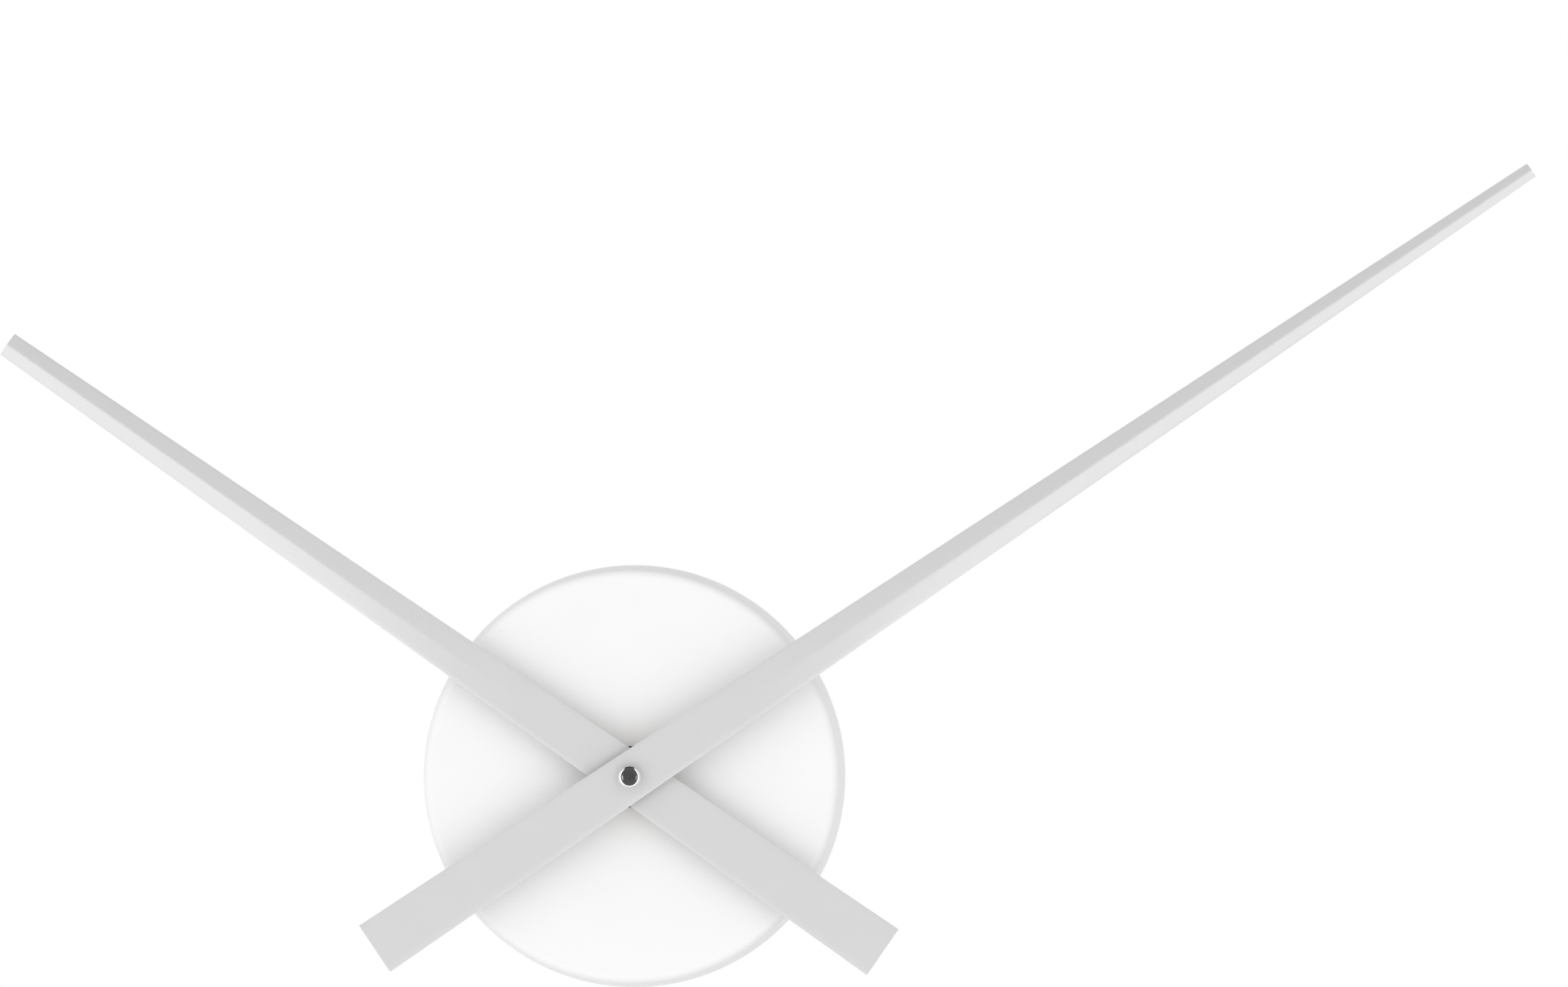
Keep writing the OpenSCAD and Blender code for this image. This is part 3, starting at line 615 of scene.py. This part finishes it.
def make_cap_nut():
    """The closed nut: straight side, round edge, slightly domed front and a blind bore."""
    cap = span("cap_nut")
    edge, dome_r, bore_r, bore_depth, foot = 0.85, 20, 1.35, 2.2, 0.12
    flat_r = cap.x1 - edge
    crown = dome_r - math.sqrt(dome_r ** 2 - flat_r ** 2)
    half_angle = math.degrees(math.asin(flat_r / dome_r))
    side_top = cap.front - crown - edge
    bm = bmesh.new()
    lathe(bm, [(bore_r, cap.rear), (cap.x1 - foot, cap.rear), (cap.x1, cap.rear + foot),
               *arc((flat_r, side_top), edge, 0, 88, 14),
               *arc((0, cap.front - dome_r), dome_r, 90 - half_angle, 90, 8),
               (0, cap.rear + bore_depth), (bore_r, cap.rear + bore_depth)], 128)
    place_mesh("cap_nut_polished", bm, "polished_cap", "minute", ["cap_nut"], sharp=50)


# ---------------------------------------------------------------- hands

# The sheet's thickness, its half width at the axis, and the fold: its slope, and where along a
# hand it starts and reaches its full height
sheet = 0.8
hub_half = 6.7
fold_slope = math.tan(math.radians(18))
fold_start, fold_full = 28, 150
# The fold's crest is rounded over about this many millimetres
crest_round = 0.35

# A hand seen from the front: unit vectors along and across it, and its half width at both ends
Blade = namedtuple("Blade", "ahead aside tail tip tail_half tip_half")


def measure_blade(node):
    """Reads a hand's direction, reach and widths from the corners of its CAD node."""
    far_end, near_end = 1, 0.1
    points = [Vector((v.co.x, v.co.z)) / MM for v in nodes[node].data.vertices]
    reach = max(p.length for p in points)
    tip_points = (p for p in points if p.length > reach - far_end)
    ahead = sum(tip_points, Vector((0, 0))).normalized()
    aside = Vector((ahead.y, -ahead.x))
    tip = max(p.dot(ahead) for p in points)
    tail = min(p.dot(ahead) for p in points)
    tip_half = max(abs(p.dot(aside)) for p in points if p.dot(ahead) > tip - near_end)
    tail_half = max(abs(p.dot(aside)) for p in points if p.dot(ahead) < tail + near_end)
    return Blade(ahead, aside, tail, tip, tail_half, tip_half)


def half_width(blade, s):
    """Half the width at s along a hand, straight from the hub to either end."""
    end, half = (blade.tail, blade.tail_half) if s < 0 else (blade.tip, blade.tip_half)
    return hub_half + (half - hub_half) * s / end


def fold_height(half, s, w):
    """How far the sheet rises at s along it and w across it, where its half width is half."""
    rise = math.hypot(half, crest_round) - math.hypot(w, crest_round)
    return rise * fold_slope * ease(s, fold_start, fold_full)


def hand_rows(bm, blade, rear):
    """Rows of vertices across the sheet, from tail to tip: each a lower and an upper line."""
    steps = 150
    trim = 0.04
    stations = [blade.tail, blade.tail + trim, blade.tip - trim, blade.tip]
    stations += [blade.tail + (blade.tip - blade.tail) * i / steps for i in range(1, steps)]
    stations.sort()
    across = [-1, -0.97, -0.75, -0.5, -0.3, -0.16, -0.08, -0.03]
    across += [-u for u in reversed(across)]
    rows = []
    for s in stations:
        half = half_width(blade, s)
        row = []
        for lift in (0, sheet):
            line = []
            for u in across:
                w = half * u
                at_edge = abs(u) == 1 or s in (blade.tail, blade.tip)
                inward = (trim if lift else -trim) if at_edge else 0
                at = blade.ahead * s + blade.aside * w
                depth = rear + lift - inward + fold_height(half, s, w)
                line.append(bm.verts.new(wall_point(at.x, at.y, depth)))
            row.append(line)
        rows.append(row)
    return rows


def skin_rows(bm, rows):
    """Faces over and under the rows, along both sides, and at both ends."""
    last = len(rows[0][0]) - 1
    for (low, top), (next_low, next_top) in zip(rows, rows[1:]):
        for j in range(last):
            bm.faces.new((top[j], top[j + 1], next_top[j + 1], next_top[j]))
            bm.faces.new((low[j], next_low[j], next_low[j + 1], low[j + 1]))
        for j in (0, last):
            bm.faces.new((top[j], next_top[j], next_low[j], low[j]))
    for low, top in (rows[0], rows[-1]):
        for j in range(last):
            bm.faces.new((top[j], low[j], low[j + 1], top[j + 1]))


def make_hand(name, node, body, hole_r):
    """A tapered sheet whose middle rises into a fold that grows out of the flat hub."""
    rear = span(node).rear
    behind, before = 1, 2
    bm = bmesh.new()
    skin_rows(bm, hand_rows(bm, measure_blade(node), rear))
    piece = to_object(name, bm)
    carve(piece, circle((0, 0), hole_r), rear - behind, rear + before)
    place(piece, "hand_silver", body, [node], sharp=20)


# ---------------------------------------------------------------- the movement, seen from behind


def make_rear_cover():
    """The movement's rear cover: a plate with a raised border and a ring round the knob."""
    cover = span("movement_rear_cover")
    knob = joint_at["knob_turn"]
    corner_r, inner_corner_r, border, sunk = 3, 0.6, 1.5, 0.3
    ring_outer, ring_inner, ring_root, shaft_hole = 7, 6.2, 0.2, 1.06
    past = 1
    floor = cover.rear + sunk
    bm = bmesh.new()
    plate = rectangle(cover.x0, cover.y0, cover.x1, cover.y1, 0, corner_r)
    prism(bm, plate, cover.rear, cover.front)
    piece = to_object("cover_plate", bm)
    inset = rectangle(cover.x0 + border, cover.y0 + border, cover.x1 - border, cover.y1 - border,
                      inner_corner_r, corner_r - border)
    carve(piece, inset, cover.rear - past, floor)
    bm = bmesh.new()
    prism(bm, circle(knob, ring_outer), cover.rear, floor + ring_root)
    combine(piece, bm, "UNION")
    carve(piece, circle(knob, ring_inner), cover.rear - past, floor)
    carve(piece, circle(knob, shaft_hole), cover.rear - past, cover.front + past)
    soften(piece, 0.08, 50)
    place(piece, "black_plastic", "case", ["movement_rear_cover"], sharp=35)
    make_cover_marks(floor, knob)


def arrow_outline(centre):
    """A curved arrow round a centre, its head at the end."""
    inner_r, outer_r, start, head_at = 8.2, 8.9, 40, 150
    head_half, head_len, steps = 1.3, 2.4, 16
    middle = Vector(centre) + Vector(polar((inner_r + outer_r) / 2, head_at))
    outward, ahead = Vector(polar(1, head_at)), Vector(polar(1, head_at + 90))
    head = [middle + outward * head_half, middle + ahead * head_len, middle - outward * head_half]
    return [*arc(centre, outer_r, start, head_at, steps), *[tuple(p) for p in head],
            *arc(centre, inner_r, head_at, start, steps)]


def make_cover_marks(floor, knob):
    """Raised on the cover: bearing bosses, a turning arrow and the battery's plus and minus."""
    height, sunk, boss_r, boss_steps = 0.16, 0.1, 1.5, 32
    mark_x, mark_y, bar, thin = 22, -8, 1.6, 0.35
    rear, front = floor - height, floor + sunk
    bm = bmesh.new()
    for name in ("minute_turn", "third_turn", "rotor_turn", "intermediate_turn"):
        prism(bm, circle(joint_at[name], boss_r, boss_steps), rear, front)
    prism(bm, arrow_outline(knob), rear, front)
    prism(bm, rectangle(-mark_x - bar, mark_y - thin, -mark_x + bar, mark_y + thin), rear, front)
    arm = [(bar, thin), (thin, thin), (thin, bar), (-thin, bar), (-thin, thin), (-bar, thin)]
    plus = arm + [(-x, -y) for x, y in arm]
    prism(bm, [(mark_x + x, mark_y + y) for x, y in plus], rear, front)
    place_mesh("cover_marks", bm, "black_plastic", "case")


def make_cover_clips():
    """Four snap hooks that reach from the cover over the movement's side walls."""
    cover = span("movement_rear_cover")
    clip_ys = (-6, 15)
    proud, rooted, arm_half = 0.28, 0.05, 2.2
    heel, slope, reach, tooth = 0.2, 0.6, 5.5, 1.2
    bm = bmesh.new()
    for side, x in ((-1, cover.x0), (1, cover.x1)):
        inner, outer = x - side * rooted, x + side * proud
        profile = [(inner, cover.rear + heel), (outer, cover.rear + slope),
                   (outer, cover.rear + reach - tooth), (inner, cover.rear + reach)]
        for y in clip_ys:
            near = [bm.verts.new(wall_point(px, y - arm_half, d)) for px, d in profile]
            far = [bm.verts.new(wall_point(px, y + arm_half, d)) for px, d in profile]
            bm.faces.new(near)
            bm.faces.new(far)
            for i in range(4):
                j = (i + 1) % 4
                bm.faces.new((near[i], near[j], far[j], far[i]))
    piece = place_mesh("cover_clips", bm, "black_plastic", "case")
    soften(piece, 0.08)


def make_battery_sleeve():
    """An AA cell's sleeve, with rolled ends and a crimp groove near the plus end."""
    r = (can.y1 - can.y0) / 2
    roll, lip = 0.7, 0.35
    groove_at, groove_depth, groove_half, floor_half = 3.2, 0.16, 0.6, 0.15
    groove_x = can.x1 - groove_at
    groove = [(r, groove_x - groove_half), (r - groove_depth, groove_x - floor_half),
              (r - groove_depth, groove_x + floor_half), (r, groove_x + groove_half)]
    bm = bmesh.new()
    lathe(bm, [(0, can.x0), (r - roll - lip, can.x0), *arc((r - roll, can.x0 + roll), roll, -90, 0),
               *groove, *arc((r - roll, can.x1 - roll), roll, 0, 90),
               (r - roll - lip, can.x1), (0, can.x1)], 96, can_axis, "x")
    place_mesh("battery_sleeve_tube", bm, "battery_sleeve", "case", ["battery_can"])


def make_battery_ends():
    """The cell's stepped plus end and its dimpled base."""
    edge, segments = 0.2, 72
    top = span("battery_positive_cap")
    disc_r = (top.y1 - top.y0) / 2
    nub_r, nub_len, nub_edge, fillet = 2.7, 1.2, 0.45, 0.3
    shelf = top.x1 - nub_len
    bm = bmesh.new()
    lathe(bm, [(0, can.x1), (disc_r, can.x1), *arc((disc_r - edge, shelf - edge), edge, 0, 90, 3),
               (nub_r + fillet, shelf), (nub_r, shelf + fillet),
               *arc((nub_r - nub_edge, top.x1 - nub_edge), nub_edge, 0, 90), (0, top.x1)],
          segments, can_axis, "x")
    place_mesh("battery_plus_end", bm, "nickel_strip", "case", ["battery_positive_cap"])

    base = span("battery_negative_base")
    base_r = (base.y1 - base.y0) / 2
    dimple_r, dimple_floor_r, dimple_depth = 3.4, 2.9, 0.15
    bm = bmesh.new()
    lathe(bm, [(0, base.x1), (base_r, base.x1),
               *arc((base_r - edge, base.x0 + edge), edge, 0, -90, 3), (dimple_r, base.x0),
               (dimple_floor_r, base.x0 + dimple_depth), (0, base.x0 + dimple_depth)],
          segments, can_axis, "x")
    place_mesh("battery_minus_end", bm, "nickel_strip", "case", ["battery_negative_base"])


def make_spring():
    """The conical contact spring, a round wire that is flat for half a turn at each end."""
    spring = span("negative_spring")
    wire_r, sides, turns, flat = 0.25, 14, 2.5, 0.5
    wide, narrow, per_turn = 3.6, 1.9, 48
    start, end = spring.x0 + wire_r, spring.x1 - wire_r
    last = int(per_turn * turns)
    points = []
    for i in range(last + 1):
        t = i / last
        rise = min(max((t * turns - flat) / (turns - 2 * flat), 0), 1)
        y, d = polar(wide + (narrow - wide) * t, 360 * i / per_turn)
        points.append((start + (end - start) * rise, can_axis[0] + y, can_axis[1] + d))
    bm = bmesh.new()
    wire(bm, points, wire_r, sides)
    place_mesh("spring_wire", bm, "nickel_strip", "case", ["negative_spring"])


# ---------------------------------------------------------------- electronics


def make_winding():
    """The coil, its turns of wire showing as fine rings."""
    coil = span("coil_winding")
    r = (coil.y1 - coil.y0) / 2
    bore, turns, rise = 2.1, 60, 0.1
    flat_start, flat_end = 0.3, 0.7
    pitch = (coil.x1 - coil.x0) / turns
    outer = []
    for i in range(turns):
        start = coil.x0 + i * pitch
        outer += [(r - rise, start), (r, start + pitch * flat_start), (r, start + pitch * flat_end)]
    outer.append((r - rise, coil.x1))
    bm = bmesh.new()
    lathe(bm, [(bore, coil.x0), *outer, (bore, coil.x1)], 48, long_axis(coil), "x")
    place_mesh("winding_turns", bm, "copper", "case", ["coil_winding"])


def make_chip():
    """A drop of black resin over the chip, a little uneven."""
    chip = span("chip_cap")
    r, height = (chip.x1 - chip.x0) / 2, chip.front - chip.rear
    steps, flatness, fullness = 14, 2.2, 0.8
    unevenness, swells_per_mm = 0.12, 0.9
    profile = [(0, chip.rear)]
    for i in range(steps + 1):
        across = r * (1 - i / steps)
        profile.append((across, chip.rear + height * (1 - (across / r) ** flatness) ** fullness))
    bm = bmesh.new()
    lathe(bm, profile, 48, face_middle(chip))
    for vert in bm.verts:
        above = -vert.co.y / MM - chip.rear
        swell = noise.noise(vert.co / MM * swells_per_mm)
        vert.co.y += unevenness * MM * (swell + 1) * ease(above, 0.05, 0.5)
    place_mesh("chip_resin", bm, "black_resin", "case", ["chip_cap"], sharp=60)


board = span("circuit_board")
crystal = span("quartz_crystal")
# Places in x and y where the coil's leads, the battery contacts and the crystal meet the board
lead_pads = [(board.x1 - 1.5, 23.5), (board.x1 - 1.5, 24.5)]
contact_pads = [(board.x0 + 1.4, -2), (board.x1 - 2.4, -3.4)]
crystal_pads = [(crystal.x0 + 0.6, crystal.y0 + 0.4), (crystal.x1 - 0.6, crystal.y0 + 0.4)]


def make_board_tracks():
    """Copper tracks under the mask, one from the chip to each pad."""
    chip_x, chip_y = face_middle(span("chip_cap"))
    first_lane, lane_gap, chip_reach = 2, 0.8, 2.6
    half, rise, sunk, step = 0.3, 0.07, 0.05, 0.003
    rear = board.front - sunk
    bm = bmesh.new()
    for number, (x, y) in enumerate(lead_pads + contact_pads + crystal_pads):
        lane = chip_x - first_lane + lane_gap * number
        lane_y = chip_y + (chip_reach if y > chip_y else -chip_reach)
        # Each track is a hair higher than the one before, so that no two share a face
        depth = board.front + rise * (1 + 0.1 * number)
        low, high = sorted((lane_y, y))
        prism(bm, rectangle(lane - half, low, lane + half, high), rear, depth)
        low, high = sorted((lane, x))
        prism(bm, rectangle(low - half, y - half, high + half, y + half), rear, depth + step)
    place_mesh("board_tracks", bm, "board_green", "case")


def make_solder_joints():
    """Round-topped solder on the pads of the leads and the contacts."""
    blob_r, blob_h, sunk = 0.75, 0.45, 0.02
    bm = bmesh.new()
    for pad in lead_pads + contact_pads:
        dome = [(blob_r * math.cos(t), board.front + blob_h * math.sin(t))
                for t in (0.25, 0.55, 0.85, 1.15, 1.4)]
        lathe(bm, [(0, board.front - sunk), (blob_r, board.front - sunk), *dome,
                   (0, board.front + blob_h)], 20, pad)
    place_mesh("solder_joints", bm, "nickel_strip", "case", sharp=70)


# ---------------------------------------------------------------- finishes on the CAD nodes

# How far each node's edges are rounded, in millimetres
edge_softness = {
    "wall_hanger": 0.12, "hex_nut": 0.12, "movement_front_case": 0.2, "setting_knob": 0.1,
    "train_bridge": 0.1, "coil_bobbin": 0.08, "circuit_board": 0.05, "stator_plate": 0.05,
    "coil_core": 0.05, "positive_contact": 0.05, "negative_contact": 0.05,
    "centre_wheel": 0.03, "hour_wheel": 0.03, "motion_wheel": 0.03, "third_wheel": 0.03,
    "seconds_wheel": 0.03, "intermediate_wheel": 0.03, "rotor_pinion": 0.03, "minute_pipe": 0.04,
    "rotor_magnet": 0.1, "motor_screws": 0.06, "board_screws": 0.06,
}


def finish_cad_nodes():
    """Gives every CAD node its finish, and soft edges where the node stays visible."""
    for name, node in nodes.items():
        node.data.materials.clear()
        node.data.materials.append(finishes[slot_of[name]])
        if name in edge_softness:
            soften(node, edge_softness[name])


# ---------------------------------------------------------------- light, floor and camera


def math_node(tree, operation, *values):
    """One operation on sockets and numbers."""
    node = tree.nodes.new("ShaderNodeMath")
    node.operation = operation
    for socket, value in zip(node.inputs, values):
        if isinstance(value, (int, float)):
            socket.default_value = value
        else:
            tree.links.new(value, socket)
    return node.outputs[0]


def step_node(tree, value, low, high):
    """0 below low, 1 above high, and a smooth rise between."""
    node = tree.nodes.new("ShaderNodeMapRange")
    node.interpolation_type = "SMOOTHSTEP"
    node.inputs["From Min"].default_value = low
    node.inputs["From Max"].default_value = high
    tree.links.new(value, node.inputs[0])
    return node.outputs[0]


def softbox_node(tree, direction, towards):
    """A round light: 1 in its middle, and 0 from its edge on."""
    middle, edge = 6, 36
    node = tree.nodes.new("ShaderNodeVectorMath")
    node.operation = "DOT_PRODUCT"
    node.inputs[1].default_value = Vector(towards).normalized()
    tree.links.new(direction, node.inputs[0])
    return step_node(tree, node.outputs["Value"], math.cos(math.radians(edge)),
                     math.cos(math.radians(middle)))


def studio_level(tree, direction, x, z):
    """White all round, dimmer above, below and to the right, with four soft boxes in front."""
    base = 1.14
    above = step_node(tree, z, 0.15, 1)
    below = step_node(tree, math_node(tree, "MULTIPLY", z, -1), 0.3, 1)
    to_the_right = step_node(tree, x, 0.3, 1)
    lower_left = softbox_node(tree, direction, (-0.34, -0.8, -0.5))
    lower_right = softbox_node(tree, direction, (0.34, -0.8, -0.5))
    upper_right = softbox_node(tree, direction, (0.34, -0.8, 0.5))
    upper_left = softbox_node(tree, direction, (-0.34, -0.8, 0.5))
    level = base
    for strength, shape in ((-0.56, above), (-0.5, below), (-0.3, to_the_right),
                            (0.46, lower_left), (0.44, lower_right), (0.56, upper_right),
                            (0.28, upper_left)):
        level = math_node(tree, "ADD", level, math_node(tree, "MULTIPLY", strength, shape))
    return level


def gap_shade(tree, x, y, z):
    """1 in a narrow gap that runs from low in front up over the top, wider above the middle."""
    offset, spread, inner, outer = 0.03, 0.3, 0.16, 0.23
    aside = math_node(tree, "ABSOLUTE", math_node(tree, "ADD", x, offset))
    widening = math_node(tree, "MULTIPLY", spread, math_node(tree, "MAXIMUM", z, 0))
    outside = step_node(tree, math_node(tree, "SUBTRACT", aside, widening), inner, outer)
    narrow = math_node(tree, "SUBTRACT", 1, outside)
    upward = step_node(tree, z, -0.42, -0.32)
    ahead = step_node(tree, math_node(tree, "MULTIPLY", y, -1), -0.7, -0.4)
    return math_node(tree, "MULTIPLY", math_node(tree, "MULTIPLY", narrow, upward), ahead)


def world_light():
    """The studio's light. Only reflections see the dark gap, and the camera sees plain white."""
    gap_darkness = 0.93
    world = bpy.data.worlds.new("studio")
    bpy.context.scene.world = world
    world.use_nodes = True
    tree = world.node_tree
    tree.nodes.clear()
    output = tree.nodes.new("ShaderNodeOutputWorld")
    direction = tree.nodes.new("ShaderNodeTexCoord").outputs["Generated"]
    split = tree.nodes.new("ShaderNodeSeparateXYZ")
    tree.links.new(direction, split.inputs[0])
    rays = tree.nodes.new("ShaderNodeLightPath")
    x, y, z = split.outputs
    gap = math_node(tree, "MULTIPLY", gap_shade(tree, x, y, z), rays.outputs["Is Glossy Ray"])
    kept = math_node(tree, "SUBTRACT", 1, math_node(tree, "MULTIPLY", gap_darkness, gap))
    level = math_node(tree, "MULTIPLY", studio_level(tree, direction, x, z), kept)
    lit = tree.nodes.new("ShaderNodeBackground")
    lit.inputs["Color"].default_value = (1, 1, 1, 1)
    tree.links.new(level, lit.inputs["Strength"])
    seen = tree.nodes.new("ShaderNodeBackground")
    seen.inputs["Color"].default_value = (1, 1, 1, 1)
    mix = tree.nodes.new("ShaderNodeMixShader")
    tree.links.new(rays.outputs["Is Camera Ray"], mix.inputs[0])
    tree.links.new(lit.outputs[0], mix.inputs[1])
    tree.links.new(seen.outputs[0], mix.inputs[2])
    tree.links.new(mix.outputs[0], output.inputs[0])


def make_floor():
    """A pale floor well below the clock, which only the camera sees."""
    half, far, drop = 6, 5, 0.45
    corners = ((-half, -half), (half, -half), (half, far), (-half, far))
    bm = bmesh.new()
    bm.faces.new([bm.verts.new((x, y, -drop)) for x, y in corners])
    floor = to_object("floor", bm)
    paint = finish("studio_floor", (0.88, 0.88, 0.88), (0.9, 0.9, 0.9), (0.6, 0.75), 300, 0.02,
                   patches=3)
    floor.data.materials.append(paint)
    floor.visible_diffuse = False
    floor.visible_glossy = False
    floor.visible_shadow = False


def make_camera():
    """A long lens in front, its position a little right of and above the spindle."""
    hands_depth = span("minute_hand").rear * MM
    distance = 2.165
    eye = Vector((0.0735, -(hands_depth + distance), 0.0147))
    target = Vector((0.0431, -hands_depth, 0.0793))
    frame_width = 0.4389
    data = bpy.data.cameras.new("camera")
    data.sensor_width = 36
    data.lens = data.sensor_width * (target - eye).length / frame_width
    data.clip_start = 0.01
    data.clip_end = 50
    camera = bpy.data.objects.new("camera", data)
    bpy.context.scene.collection.objects.link(camera)
    camera.location = eye
    camera.rotation_euler = (target - eye).to_track_quat("-Z", "Y").to_euler()
    bpy.context.scene.camera = camera


make_case()
make_face_rings()
make_collet()
make_bushing()
make_cap_nut()
make_hand("minute_hand_sheet", "minute_hand", "minute", 1.4)
make_hand("hour_hand_sheet", "hour_hand", "hour", 3.3)
make_rear_cover()
make_cover_clips()
make_battery_sleeve()
make_battery_ends()
make_spring()
make_winding()
make_chip()
make_board_tracks()
make_solder_joints()
finish_cad_nodes()
world_light()
make_floor()
make_camera()
bpy.context.scene.view_settings.view_transform = "Standard"
